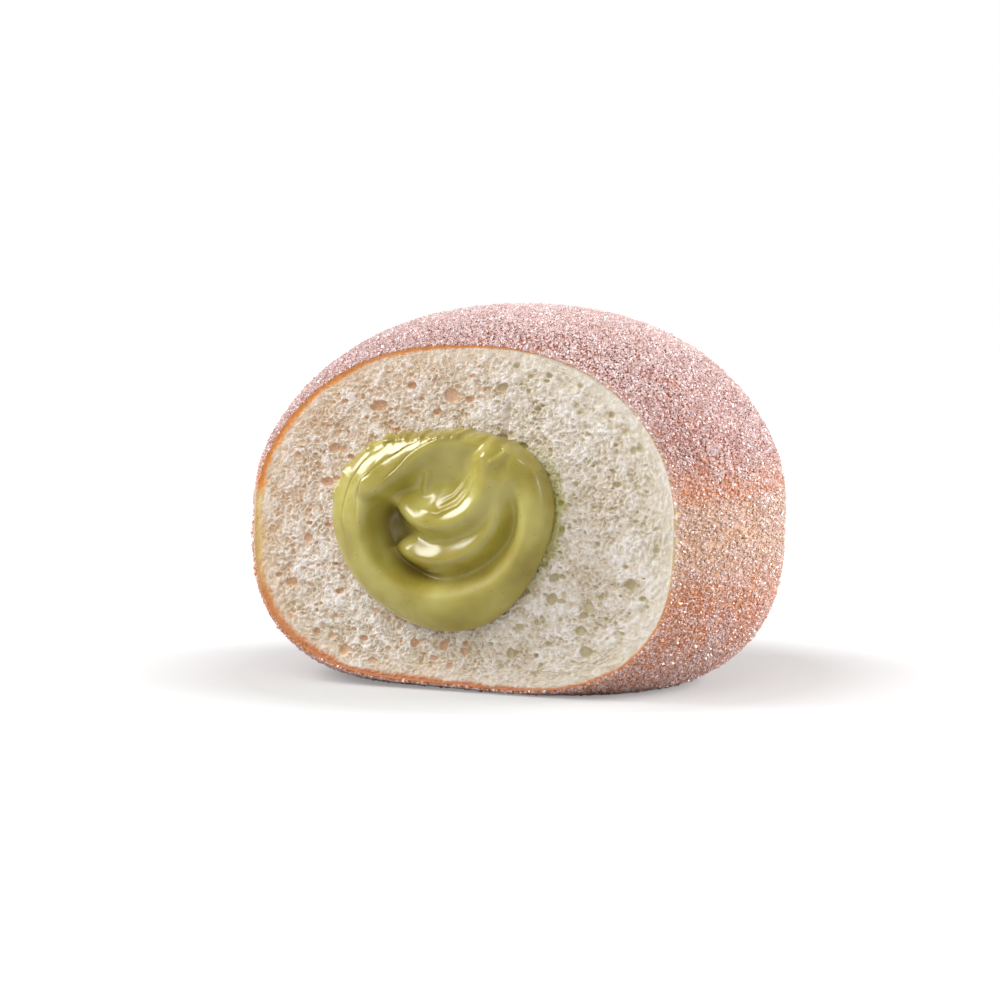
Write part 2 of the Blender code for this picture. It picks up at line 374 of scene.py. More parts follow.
# Small ridges laid over the folds: (height, half width, the points that it passes)
RIDGES = (
    (2.2 * MM, 2.3 * MM, ((-11.0, 7.6), (-8.6, 5.6), (-5.8, 3.2))),
    (0.5 * MM, 0.65 * MM, ((-0.4, 8.4), (-1.0, 7.2), (-1.5, 5.6), (-1.9, 4.4))),
    (1.1 * MM, 0.5 * MM, ((11.2, 14.6), (11.6, 12.8), (12.0, 11.4), (11.0, 10.2), (9.7, 9.3))),
    (1.3 * MM, 1.5 * MM, ((12.9, 13.6), (13.0, 10.5), (12.4, 7.6), (11.6, 3.6))),
    (0.35 * MM, 0.4 * MM, ((7.6, 8.4), (6.4, 5.6), (4.6, 3.6), (1.6, 2.2), (-1.4, 2.6))),
    (0.28 * MM, 0.35 * MM, ((6.4, 8.8), (5.2, 6.4), (3.6, 4.6), (1.0, 3.2))),
)
PIT = (1.4 * MM, 6.4 * MM, 1.7 * MM, 0.6 * MM)  # x, z, radius and depth of the small pit in the hollow
RIM_REACH = 0.035
RIM_SHARPNESS = 14
RIM_WIDTH = 0.6 * MM
RIM_HEIGHT = 0.7 * MM
RIM_INSET = 0.8 * MM
# Painted shade: grooves are coloured darker below this height, over this fall
GROOVE_SHADE_BELOW = 2.8 * MM
GROOVE_SHADE_FALL = 3.6 * MM
DULL_FROM = 8.2 * MM  # the skin is duller this far from the roll's middle, and about this direction
DULL_AT = np.radians(-45)
DULL_SPREAD = np.radians(80)
CREAM_SEGMENTS = 520
CREAM_RINGS = 176


def cream_outline(angle):
    """An ellipse swollen by low waves; the distance from the middle out to x and z at this angle."""
    grown = swell(CREAM_SWELLINGS, angle)
    return CREAM_HALF_WIDTH * grown * np.cos(angle), CREAM_HALF_HEIGHT * grown * np.sin(angle)


def turned_from(angle, centre):
    """The angle left between two directions, from 0 to half a turn."""
    return np.abs((angle - centre + np.pi) % (2.0 * np.pi) - np.pi)


def roll_crest(angle):
    """The outer roll's crest: an oval with one dent, as a radius about the roll's middle."""
    dent = 1.0 - smooth_step(turned_from(angle, ROLL_DENT_AT) / (2.0 * ROLL_DENT_SPREAD))
    return ROLL_RADIUS + ROLL_OVAL * np.cos(2.0 * (angle - ROLL_OVAL_TURN)) - ROLL_DENT * dent


def about_roll(x, z):
    """The angle and the distance of a point about the roll's middle."""
    beside, above = x - ROLL_MIDDLE[0], z - ROLL_MIDDLE[1]
    return np.arctan2(above, beside), np.hypot(beside, above)


def across_roll(x, z, to_edge):
    """The angle, the way out from the crest, its share of the way to the edge, and how dragged it is."""
    angle, distance = about_roll(x, z)
    outwards = distance - roll_crest(angle)
    share = np.clip(outwards / np.maximum(outwards + to_edge, 1e-6), 0.0, 1.0)
    return angle, outwards, share, 1.0 - smooth_step((turned_from(angle, DRAG_FROM) / DRAG_SPREAD) - 0.1)


def bell(angle, direction, spread):
    """exp(-(angle from the direction / spread)^2)."""
    return np.exp(-((turned_from(angle, direction) / spread) ** 2))


def outer_roll(x, z, to_edge):
    """A superellipse from the crest out to the edge, and a soft step from the crest down into the hollow."""
    angle, outwards, share, dragged = across_roll(x, z, to_edge)
    roll = ROLL_HEIGHT - sum(sink * bell(angle, at, spread) for sink, at, spread in ROLL_SINKS)
    fullness = 2.0 - 0.5 * dragged
    outside = CREAM_EDGE + (roll - CREAM_EDGE) * (1.0 - share**fullness) ** (1.0 / fullness)
    wall = WALL_NARROW + (WALL_WIDE - WALL_NARROW) * smooth_step(turned_from(angle, np.radians(175)) / np.pi)
    raised, raised_at, raised_spread = HOLLOW_RAISED
    hollow = HOLLOW_HEIGHT + raised * bell(angle, raised_at, raised_spread)
    inside = roll - (roll - hollow) * smooth_step(-outwards / wall)
    along_wall = np.exp(-(((-outwards - wall) / TRENCH_REACH) ** 2)) * smooth_step(-outwards / wall)
    for depth, direction, spread in TRENCHES:
        inside = inside - depth * along_wall * bell(angle, direction, spread)
    return np.where(outwards > 0.0, outside, inside)


def drag_lines(x, z, to_edge):
    """Ridges side by side across the roll, wavering and broken off, on its left and upper left only."""
    angle, _, share, dragged = across_roll(x, z, to_edge)
    full_angle = angle % (2.0 * np.pi)
    place = np.stack([x, 0.0 * x, z], -1)
    wobble = 0.16 * noise(place, 5.0 * MM, 22) + 0.07 * noise(place, 1.8 * MM, 23)
    lines = share * DRAG_LINES + wobble + 1.1 * full_angle
    saw = lines % 1.0
    stretch = np.stack([full_angle * 4.0, np.floor(lines), 0.0 * x], -1)
    strength = 0.2 + 0.8 * np.clip(0.6 + 1.6 * noise(stretch, 1.0, 24), 0.0, 1.0)
    rounded = np.sqrt(np.clip(1.0 - (1.0 - saw) ** 2, 0.0, 1.0)) * smooth_step((1.0 - saw) * 6.0)
    ends = smooth_step(share * 5.0) * smooth_step((1.0 - share) * 6.0)
    return DRAG_HEIGHT * (rounded - 0.6) * strength * dragged * ends


def softened(heights, passes):
    """Each height becomes half itself and a quarter of each neighbour along its ray, over and over."""
    for _ in range(passes):
        heights[1:-1] = 0.5 * heights[1:-1] + 0.25 * (heights[:-2] + heights[2:])
    return heights


def inner_fold(x, z, fold):
    """A lobe along an arc: a quarter ellipse on its outer side, and inwards a slope, rounded at the crest."""
    middle_x, middle_z, arc, growth, start, end, crest, nose, slope = fold
    angle = np.arctan2(z - middle_z, x - middle_x)
    from_middle = (angle - (start + end) / 2.0) / ((end - start) / 2.0)
    outwards = np.hypot(x - middle_x, z - middle_z) - arc - growth * from_middle**2
    blunt = 1.0 - np.clip((angle - start) / FOLD_BLUNT, 0.0, 1.0)
    rising = FOLD_START + (1.0 - FOLD_START) * smooth_step((angle - start) / FOLD_RISE)
    taper = np.sqrt(1.0 - blunt**2) * rising * smooth_step((end - angle) / FOLD_TAPER)
    top = crest * taper
    under = (top + LOWEST) * np.sqrt(np.clip(1.0 - (outwards / nose) ** 2, 0.0, 1.0)) - LOWEST
    sloped = top - slope * (np.hypot(outwards, CREST_ROUND) - CREST_ROUND)
    return np.where(outwards > 0.0, under, sloped)


def ridge_along(x, z, height, half_width, stations):
    """A bell-shaped ridge: height x exp(-(distance to the line / half width)^2), tapered at its two ends."""
    stations = np.array(stations) * MM
    nearest = np.full(x.shape, 1.0)
    along = np.zeros(x.shape)
    pieces = len(stations) - 1
    for number in range(pieces):
        start, run = stations[number], stations[number + 1] - stations[number]
        share = np.clip(((x - start[0]) * run[0] + (z - start[1]) * run[1]) / (run @ run), 0.0, 1.0)
        away = np.hypot(x - start[0] - share * run[0], z - start[1] - share * run[1])
        along = np.where(away < nearest, (number + share) / pieces, along)
        nearest = np.minimum(away, nearest)
    taper = smooth_step(along * 4.0 + 0.3) * smooth_step((1.0 - along) * 3.0 + 0.1)
    return height * taper * np.exp(-((nearest / half_width) ** 2))


def cream_height(x, z, to_edge):
    """A soft maximum of the rolls and folds: the high power of each, summed, and rooted again."""
    heights = np.stack([outer_roll(x, z, to_edge)] + [inner_fold(x, z, fold) for fold in FOLDS])
    heights = np.maximum(heights + LOWEST, 0.01 * MM)
    highest = heights.max(0)
    powers = ((heights / highest) ** CREASE_SHARPNESS).sum(0)
    folded = highest * powers ** (1.0 / CREASE_SHARPNESS) - LOWEST
    folded = softened(folded, SOFTENING) + drag_lines(x, z, to_edge)
    folded += sum(ridge_along(x, z, *ridge) for ridge in RIDGES) * smooth_step(to_edge / (1.0 * MM))
    pit_x, pit_z, pit_radius, pit_depth = PIT
    return folded - pit_depth * np.exp(-((x - pit_x) ** 2 + (z - pit_z) ** 2) / pit_radius**2)


def rim_lumps(angle):
    """How lumpy the torn rim is, from 0 to 1: noise round the edge, along the top and upper left only."""
    circle = np.stack([np.cos(angle), np.sin(angle), 0.0 * angle], -1) * CREAM_HALF_WIDTH
    lumps = np.clip(0.4 + 1.5 * noise(circle, 1.5 * MM, 21, 3), 0.0, 1.0)
    return lumps * (1.0 - smooth_step(turned_from(angle, np.radians(112)) / np.radians(74) * 2.0 - 1.0))


ring = np.linspace(0.0, 1.0, CREAM_RINGS)[:, None]
ring_share = 0.35 * ring + 0.65 * np.sin(ring * np.pi / 2.0)
angles = np.linspace(0.0, 2.0 * np.pi, CREAM_SEGMENTS, endpoint=False)[None, :]
edge_x, edge_z = cream_outline(angles)
lumps = rim_lumps(angles)
ragged = 1.0 + RIM_REACH * (lumps - 0.3) * ring_share**RIM_SHARPNESS
cream_x = edge_x * ring_share * ragged
cream_z = edge_z * ring_share * ragged
from_edge = (1.0 - ring_share) * np.hypot(edge_x, edge_z)
rim = np.exp(-(((from_edge - RIM_INSET) / RIM_WIDTH) ** 2)) * lumps
stands = cream_height(cream_x, cream_z, from_edge) + RIM_HEIGHT * rim
over = np.maximum(stands - LEVELLED_FROM, 0.0)
stands = np.minimum(stands, LEVELLED_FROM) + LEVELLED_BY * np.tanh(over / LEVELLED_BY)
# Painted shade: the cream's colour is darkened in its low grooves, where shade falls.
groove_shade = smooth_step((GROOVE_SHADE_BELOW - stands) / GROOVE_SHADE_FALL) * smooth_step(from_edge / (4.0 * MM))
# The skin of the cream is duller on the lower right of the roll.
roll_angle, from_roll = about_roll(cream_x, cream_z)
dull = smooth_step((from_roll - DULL_FROM) / (1.4 * MM))
dull = dull * (1.0 - smooth_step(turned_from(roll_angle, DULL_AT) / DULL_SPREAD * 2.0 - 1.0))
front = np.stack([cream_x + CREAM_MIDDLE[0], -CUT_DEPTH - stands, cream_z + CREAM_MIDDLE[1]], -1)
# Behind the slice the filling narrows to the pocket, and closes in a rounded end.
behind = np.sin(np.linspace(0.0, np.pi / 2, 8))[:, None]
narrowing = POCKET_SHARE * np.sqrt(np.clip(1.0 - behind**2, 0.0, 1.0))
back = np.stack(
    [
        edge_x * narrowing + CREAM_MIDDLE[0],
        -CUT_DEPTH + behind * POCKET_DEPTH + 0.0 * edge_x,
        edge_z * narrowing + CREAM_MIDDLE[1],
    ],
    -1,
)
filling_points = np.concatenate([front, back], 0) + AXIS
hidden = np.zeros_like(back[..., 0])
marks = {"rim": rim, "groove_shade": groove_shade, "dull": dull}
filling = mesh_object(
    "filling",
    filling_points.reshape(-1, 3),
    grid_faces(CREAM_RINGS + 8, CREAM_SEGMENTS, wrap=True)[:, ::-1],
    layers={layer: np.concatenate([values, hidden]) for layer, values in marks.items()},
)

CREAM_GREEN = linear(178, 164, 74)
CREAM_PALE = linear(196, 186, 102)
CREAM_OLIVE = linear(160, 143, 58)
# Painted shade for the cream's low grooves:
CREAM_GROOVE_SHADE = linear(112, 96, 34)
CREAM_RIM = linear(144, 124, 42)
CREAM_SPECK = linear(96, 82, 38)
CREAM_SMEAR = linear(192, 186, 104)

cream = Shader("pistachio_cream", Roughness=0.25, Subsurface_Weight=0.1, Subsurface_Scale=0.0015)
cream.surface.inputs["Subsurface Radius"].default_value = (1.0, 0.85, 0.3)
cream.surface.inputs["Specular IOR Level"].default_value = 0.8
cream.surface.inputs["Coat Roughness"].default_value = 0.12
place = cream.place()
greens = ((0.3, CREAM_OLIVE), (0.5, CREAM_GREEN), (0.72, CREAM_PALE))
blend = cream.ramp(cream.noise(place, 7.0 * MM, 2.0), greens)
specks = cream.add("TexVoronoi", {"Vector": place, "Scale": 1.0 / (1.6 * MM)}).outputs["Distance"]
speck = cream.ramp(specks, ((0.0, (1, 1, 1)), (0.05, (1, 1, 1)), (0.08, (0, 0, 0))))
torn = cream.add("Attribute", attribute_name="rim").outputs["Fac"]
rimmed = cream.mix(cream.math("MULTIPLY", torn, 0.8), blend, CREAM_RIM)
# Painted shade: the low grooves are coloured darker.
groove_shaded = cream.mix(cream.add("Attribute", attribute_name="groove_shade").outputs["Fac"], rimmed, CREAM_GROOVE_SHADE)
cream.join(cream.mix(cream.math("MULTIPLY", speck, 0.6), groove_shaded, CREAM_SPECK), "Base Color")
gloss = cream.noise(place, 3.0 * MM, 2.0)
duller = cream.add("Attribute", attribute_name="dull").outputs["Fac"]
rough = cream.math("MULTIPLY_ADD", gloss, 0.26, 0.10)
cream.join(cream.math("MULTIPLY_ADD", duller, 0.30, rough), "Roughness")
cream.join(cream.math("MULTIPLY_ADD", duller, -0.35, 0.35), "Coat Weight")
cream.bump(cream.noise(place, 2.2 * MM, 2.0), 0.05 * MM, 0.4)
filling.data.materials.append(cream.material)
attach(filling, "root")
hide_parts("cream")

# ---------------------------------------------------------------------------------------------------------
# Crumb: the soft inside of the dough, laid open by the slice. An airy sponge of bubbles of all sizes, with
# torn walls between them, pale with painted glints, and hollows darkened beige as painted shade; towards the
# crust it is denser and takes its colour.
# ---------------------------------------------------------------------------------------------------------

CRUMB_PARTS = 4
CRUMB_COLUMNS = 420
CRUMB_ROWS = 198
CRUMB_BACK = 2.4 * MM
CRUMB_INNER = 0.9  # where it ends under the cream, as a share of the cream's outline
# Bubbles: (cell size, smallest and largest radius and depth in cells, share of the cells that hold one)
BUBBLES = (
    (5.0 * MM, 0.11, 0.24, 0.13, 0.66),
    (2.6 * MM, 0.12, 0.26, 0.15, 0.50),
    (1.5 * MM, 0.14, 0.30, 0.16, 0.30),
)
WEB_SIZES = ((0.84 * MM, 0.14 * MM), (0.44 * MM, 0.08 * MM))  # mesh of the fine web, and how deep it is
STREAK_STRETCH = 2.6
SLIT_X = 7.0 * MM
SLIT_LOW = 10.0 * MM
SLIT_HIGH = 17.0 * MM
SLIT_WIDTH = 0.40 * MM
SLIT_DEPTH = 0.8 * MM
# The crust's cut edge: its width at all angles, and what is added: (how much, direction, spread)
EDGE_WIDTH = 0.30 * MM
EDGE_ADDED = (
    (0.50 * MM, np.radians(140), np.radians(42)),
    (0.80 * MM, np.radians(205), np.radians(28)),
    (0.30 * MM, np.radians(-100), np.radians(50)),
)
EDGE_BARE = (np.radians(28), np.radians(48))  # where the crumb runs out to the sugar with no line
NEIGHBOURS = np.array([(i, j, k) for i in (-1, 0, 1) for j in (-1, 0, 1) for k in (-1, 0, 1)])


def cut_outline(angle):
    """How far the crust lies from the cream's middle at this angle on the slice, read off the turned form."""
    level = np.sin(np.linspace(-np.pi / 2, np.pi / 2, 4001))
    cut = section_radius(level) * DEPTH_RATIO > CUT_DEPTH
    right = dough_form(kept_turn(0.0, level[cut]), level[cut])
    left = dough_form(kept_turn(1.0, level[cut]), level[cut])
    rim = np.concatenate([right, left])[:, [0, 2]] - CREAM_MIDDLE
    rim_angle = np.arctan2(rim[:, 1], rim[:, 0])
    order = np.argsort(rim_angle)
    return np.interp(angle, rim_angle[order], np.hypot(*rim.T)[order], period=2.0 * np.pi)


def bubble_depth(x, z, size, least, most, deep, filled, seed):
    """Shallow bowls where the slice opens a bubble: depth x (1 - (d / r)^4), one random bubble a cell."""
    points = np.stack([x, 0.0 * x, z], -1) / size
    base = np.floor(points)
    depth = np.zeros(x.shape)
    for neighbour in NEIGHBOURS[NEIGHBOURS[:, 1] == 0]:
        cell = base + neighbour
        centre = cell + np.stack([hashed(cell, seed + axis) for axis in (1, 2, 3)], -1)
        radius = least + (most - least) * hashed(cell, seed + 4) ** 1.5
        radius = np.where(hashed(cell, seed + 5) < filled, radius, 1e-6)
        slant = 0.55 + 0.45 * hashed(cell, seed + 6)
        across, up = points[..., 0] - centre[..., 0], (points[..., 2] - centre[..., 2]) / slant
        away = (across**2 + up**2) / radius**2
        depth = np.maximum(depth, deep * np.clip(1.0 - away**2, 0.0, None))
    return depth * size


def web_depth(points, size, seed):
    """A fine web's hollows, 0 on its strands: second nearest less nearest of one random point a cell."""
    scaled = points / size
    base = np.floor(scaled)
    nearest = np.full(points.shape[:-1], 9.0)
    second = nearest.copy()
    for neighbour in NEIGHBOURS:
        cell = base + neighbour
        centre = cell + np.stack([hashed(cell, seed + axis) for axis in (1, 2, 3)], -1)
        away = np.linalg.norm(scaled - centre, axis=-1)
        second = np.minimum(second, np.maximum(nearest, away))
        nearest = np.minimum(nearest, away)
    return smooth_step((second - nearest) / 0.36)


def wetted(x, z, from_cream):
    """How far cream has soaked the crumb: a ragged fringe at the filling's right, thinning with distance."""
    place = np.stack([x, 0.0 * x, z], -1)
    reach = 2.4 * MM * (1.0 + 0.9 * noise(place, 1.2 * MM, 38, 2))
    angle = np.arctan2(z - CREAM_MIDDLE[1], x - CREAM_MIDDLE[0])
    beside = np.exp(-(((angle - np.radians(4)) / np.radians(34)) ** 2))
    return beside * (1.0 - smooth_step(from_cream / reach))


def crumb_part(name, start, end):
    """A fan of the slice between two angles: rings from under the cream out to the crust, and a flat back."""
    angle = np.linspace(start, end, CRUMB_COLUMNS)[None, :]
    squeezed = np.arctan2(np.sin(angle) / CREAM_HALF_HEIGHT, np.cos(angle) / CREAM_HALF_WIDTH)
    inner = np.hypot(*cream_outline(squeezed))
    outer = cut_outline(angle) - 0.03 * MM
    share = np.linspace(0.0, 1.0, CRUMB_ROWS)[:, None]
    radius = inner * CRUMB_INNER + (outer - inner * CRUMB_INNER) * share
    x = radius * np.cos(angle) + CREAM_MIDDLE[0]
    z = radius * np.sin(angle) + CREAM_MIDDLE[1]
    flat = np.stack([x, 0.0 * x, z], -1)
    to_crust = outer - radius
    warp = 0.50 * MM * np.stack([noise(flat, 1.3 * MM, 31, 3), 0.0 * x, noise(flat, 1.3 * MM, 32, 3)], -1)
    warped = flat + warp
    bubbles = np.zeros(x.shape)
    bent_x, bent_z = x + 0.6 * warp[..., 0], z + 0.6 * warp[..., 2]
    for number, kind in enumerate(BUBBLES):
        bubbles = np.maximum(bubbles, bubble_depth(bent_x, bent_z, *kind, seed=100 + 10 * number))
    bubbles *= smooth_step((to_crust - 1.2 * MM) / (2.0 * MM))
    # Near the crust on the right, the web is pulled out along the crust.
    pulled = smooth_step(x / (9.0 * MM) - 0.8) * (1.0 - smooth_step(to_crust / (9.0 * MM)))
    along_crust = (angle + 0.0 * share) * WIDEST_RADIUS * 0.6 / STREAK_STRETCH
    streaks = np.stack([to_crust, 0.0 * x, along_crust], -1) + warp
    web = np.zeros(x.shape)
    for number, (size, deep) in enumerate(WEB_SIZES):
        web += deep * (1.0 - pulled) * web_depth(warped, size, 200 + number)
        web += deep * pulled * web_depth(streaks, size, 210 + number)
    openness = np.clip(0.95 + 0.8 * noise(flat, 2.0 * MM, 35, 2), 0.3, 1.5)
    smooth_floor = 1.0 - 0.8 * smooth_step(bubbles / (0.18 * MM))
    dense = 0.5 + 0.5 * smooth_step((to_crust - 0.5 * MM) / (3.0 * MM))
    coarser = 0.10 * MM + 0.10 * MM * smooth_step(-z / (10.0 * MM))
    fine = 0.20 * MM * noise(flat, 0.50 * MM, 33, 3)
    relief = (web * openness * smooth_floor + fine) * dense
    rolling = (coarser * noise(flat, 1.7 * MM, 36, 2) + 0.15 * MM * noise(flat, 5.5 * MM, 34, 2)) * dense
    depth = bubbles + relief + rolling + 0.12 * MM
    # A slit tears up from the cream's top.
    slit = np.exp(-(((x - SLIT_X - 0.12 * (z - SLIT_LOW)) / SLIT_WIDTH) ** 2))
    slit *= smooth_step((z - SLIT_LOW) / (1.0 * MM)) * smooth_step((SLIT_HIGH - z) / (3.0 * MM))
    depth += SLIT_DEPTH * slit
    depth *= smooth_step(to_crust / (0.4 * MM)) * 0.85 + 0.15
    face = np.stack([x, depth - CUT_DEPTH, z], -1)
    behind = np.stack([x, 0.0 * x - CUT_DEPTH + CRUMB_BACK, z], -1)[[-1, 0]]
    loop = np.concatenate([face, behind], 0) + AXIS
    rows = CRUMB_ROWS + 2
    # The last row joins the first, which closes the fan all the way along.
    first = np.arange(CRUMB_COLUMNS)
    last = first + (rows - 1) * CRUMB_COLUMNS
    closing = np.stack([last[:-1], last[1:], first[1:], first[:-1]], -1)
    faces = np.concatenate([grid_faces(rows, CRUMB_COLUMNS), closing])
    hidden = np.ones((2, CRUMB_COLUMNS))
    width = EDGE_WIDTH + sum(more * bell(angle, at, spread) for more, at, spread in EDGE_ADDED)
    width = width * (1.0 - bell(angle, *EDGE_BARE))
    width = width * (1.0 + 0.5 * noise(flat, 2.5 * MM, 37, 2)) + 0.05 * MM
    layers = {
        "near_crust": 1.0 - smooth_step(to_crust / (7.0 * MM)),
        # Painted shade: how deep the crumb lies, which colours it darker; its shallowest strands get painted
        # glints.
        "pit_shade": np.clip((relief + 0.5 * rolling) / (0.42 * MM) + 0.1, 0.0, 1.0),
        "skin_line": 1.0 - smooth_step((to_crust - 0.4 * width) / (1.4 * width)),
        "upper_left": smooth_step((z - x - 2.0 * MM) / (30.0 * MM)),
        "bubble": smooth_step(bubbles / (0.25 * MM)),
        "right": smooth_step((x + 4.0 * MM) / (22.0 * MM)),
        "wetted": wetted(x, z, radius - inner),
    }
    layers = {layer: np.concatenate([values, hidden]) for layer, values in layers.items()}
    return mesh_object(name, loop.reshape(-1, 3), faces, merge=False, layers=layers)


# Crumb tones from the strands' tops to the hollows: painted glints, pale walls, then painted shade.
CRUMB_GLINT = linear(246, 240, 236)
CRUMB_STRAND = linear(232, 222, 211)
CRUMB_BODY = linear(220, 206, 186)
CRUMB_HOLLOW_SHADE = linear(188, 168, 138)
CRUMB_BLUSH = linear(206, 164, 128)
CRUMB_WARM = linear(228, 192, 146)
CRUMB_YELLOW = linear(234, 223, 194)
# The crust's cut edge by height above the doughnut's middle: clearer colours than its skin
EDGE_BROWNING = (
    (-27.0, linear(198, 124, 84)),
    (-14.0, linear(218, 146, 88)),
    (-7.0, linear(228, 190, 126)),
    (0.5, linear(234, 198, 136)),
    (3.0, linear(240, 156, 80)),
    (16.0, linear(240, 156, 80)),
    (30.0, linear(220, 146, 88)),
)
BUBBLE_PEACH = linear(214, 170, 130)
BUBBLE_KHAKI = linear(188, 174, 130)

sponge = Shader("crumb", Roughness=0.75, Subsurface_Weight=0.15, Subsurface_Scale=0.0015)
sponge.surface.inputs["Subsurface Radius"].default_value = (1.0, 0.7, 0.45)
place = sponge.place()
pit_shade, near, line, bubble, right, wet, blush = (
    sponge.add("Attribute", attribute_name=layer).outputs["Fac"]
    for layer in ("pit_shade", "near_crust", "skin_line", "bubble", "right", "wetted", "upper_left")
)
# Painted shade and highlight: deeper crumb is coloured darker beige, the strands' tops pale with painted
# glints.
grain = sponge.math("MULTIPLY_ADD", sponge.noise(place, 0.3 * MM, 3.0, 0.6), 0.8, -0.4)
pit_shade_share = sponge.math("ADD", pit_shade, grain, clamp=True)
tones = sponge.ramp(
    pit_shade_share, ((0.0, CRUMB_GLINT), (0.14, CRUMB_STRAND), (0.45, CRUMB_BODY), (0.95, CRUMB_HOLLOW_SHADE))
)
rightwards = sponge.math("ADD", right, sponge.noise(place, 7.0 * MM, 1.0))
khaki_share = sponge.ramp(rightwards, ((0.75, (0, 0, 0)), (1.1, (1, 1, 1))))
floor_tone = sponge.mix(khaki_share, BUBBLE_PEACH, BUBBLE_KHAKI)
blush_share = sponge.math("MULTIPLY", blush, sponge.math("MULTIPLY_ADD", pit_shade_share, 0.7, 0.15))
blushed = sponge.mix(blush_share, tones, CRUMB_BLUSH)
floored = sponge.mix(sponge.math("MULTIPLY", bubble, 0.8), blushed, floor_tone)
patchy = sponge.math("MULTIPLY_ADD", sponge.noise(place, 3.0 * MM, 3.0), 1.2, -0.1)
warm = sponge.math("MULTIPLY", near, patchy, clamp=True)
edge_tone = sponge.mix(right, CRUMB_WARM, CRUMB_YELLOW)
tinted = sponge.mix(sponge.math("MULTIPLY", warm, 0.55), floored, edge_tone)
soaked = sponge.mix(sponge.math("MULTIPLY", wet, 0.85), tinted, CREAM_SMEAR)
frayed = sponge.math("MULTIPLY_ADD", sponge.noise(place, 0.5 * MM, 2.0), 1.0, -0.7)
ragged = sponge.math("MULTIPLY_ADD", line, 1.3, frayed, clamp=True)
sponge.join(sponge.mix(ragged, soaked, browned(sponge, place, EDGE_BROWNING)), "Base Color")
sponge.bump(sponge.noise(place, 0.22 * MM, 3.0, 0.65), 0.05 * MM, 0.7)
for number in range(CRUMB_PARTS):
    crumb = crumb_part(f"crumb_{number + 1}", *(np.array([number, number + 1]) * 2.0 * np.pi / CRUMB_PARTS))
    crumb.data.materials.append(sponge.material)
    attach(crumb, "root")
    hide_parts("dough")

# ---------------------------------------------------------------------------------------------------------
# Sugar: the doughnut is rolled in sugar while it is warm. The grains are small tilted crystals, part sunk
# into the fat of the crust, thick on the crown and thinner on the pale belt. Five kinds, a piece for each.
# ---------------------------------------------------------------------------------------------------------

BLOCK = np.array([(i, j, k) for k in (-1, 1) for j in (-1, 1) for i in (-1, 1)]) * 0.5
BLOCK_ENDS = [(0, 2, 3), (0, 3, 1), (4, 5, 7), (4, 7, 6)]
BLOCK_FLANKS = [(0, 1, 5), (0, 5, 4), (2, 6, 7), (2, 7, 3), (0, 4, 6), (0, 6, 2), (1, 3, 7), (1, 7, 5)]
BLOCK_SIDES = np.array(BLOCK_ENDS + BLOCK_FLANKS)
SPINDLE = np.array([(0, 0, -1), (1, 0, 0), (0, 1, 0), (-1, 0, 0), (0, -1, 0), (0, 0, 1)]) * 0.62
SPINDLE_FOOT = [(0, 2, 1), (0, 3, 2), (0, 4, 3), (0, 1, 4)]
SPINDLE_SIDES = np.array(SPINDLE_FOOT + [(5, 1, 2), (5, 2, 3), (5, 3, 4), (5, 4, 1)])
SHARD = np.array([(1, 1, 1), (-1, -1, 1), (-1, 1, -1), (1, -1, -1)]) * 0.55
SHARD_SIDES = np.array([(0, 2, 1), (0, 1, 3), (0, 3, 2), (1, 2, 3)])
# (name, number of grains, smallest and largest edge, corners and sides of one grain)
SUGAR_KINDS = (
    ("sugar_blocks", 12000, 0.28 * MM, 0.42 * MM, BLOCK, BLOCK_SIDES),
    ("sugar_spindles", 24500, 0.24 * MM, 0.36 * MM, SPINDLE, SPINDLE_SIDES),
    ("sugar_shards", 49000, 0.24 * MM, 0.34 * MM, SHARD, SHARD_SIDES),
    ("sugar_chips", 49000, 0.20 * MM, 0.30 * MM, SHARD, SHARD_SIDES),
    ("sugar_dust", 49000, 0.16 * MM, 0.24 * MM, SHARD, SHARD_SIDES),
)
GRAIN_WHITE = np.array(linear(246, 236, 238)[:3])
GRAIN_PINK = np.array(linear(238, 210, 206)[:3])
# (height above the doughnut's middle in millimetres, how much clearer the grains are there)
CLEARER_AT = (
    (-27.0, 1.3),
    (-20.0, 1.4),
    (-12.0, 1.75),
    (-6.0, 1.6),
    (1.5, 1.5),
    (5.0, 1.35),
    (14.0, 1.0),
    (30.0, 0.8),
)
LET_THROUGH = (0.0, 0.52)  # least and most of the crust's colour that shows through a grain
MOST_THROUGH = 0.85
BELT_AT = -2.5 * MM  # the sugar's thin belt: its height above the doughnut's middle, and half its width
BELT_HALF_WIDTH = 5.5 * MM


def crust_tone(height):
    """The crust's colour at a height above the doughnut's middle, between the colours of its browning."""
    levels = [level * MM for level, _ in BROWNING]
    tones = np.array([colour[:3] for _, colour in BROWNING])
    return np.stack([np.interp(height, levels, tones[:, channel]) for channel in range(3)], -1)


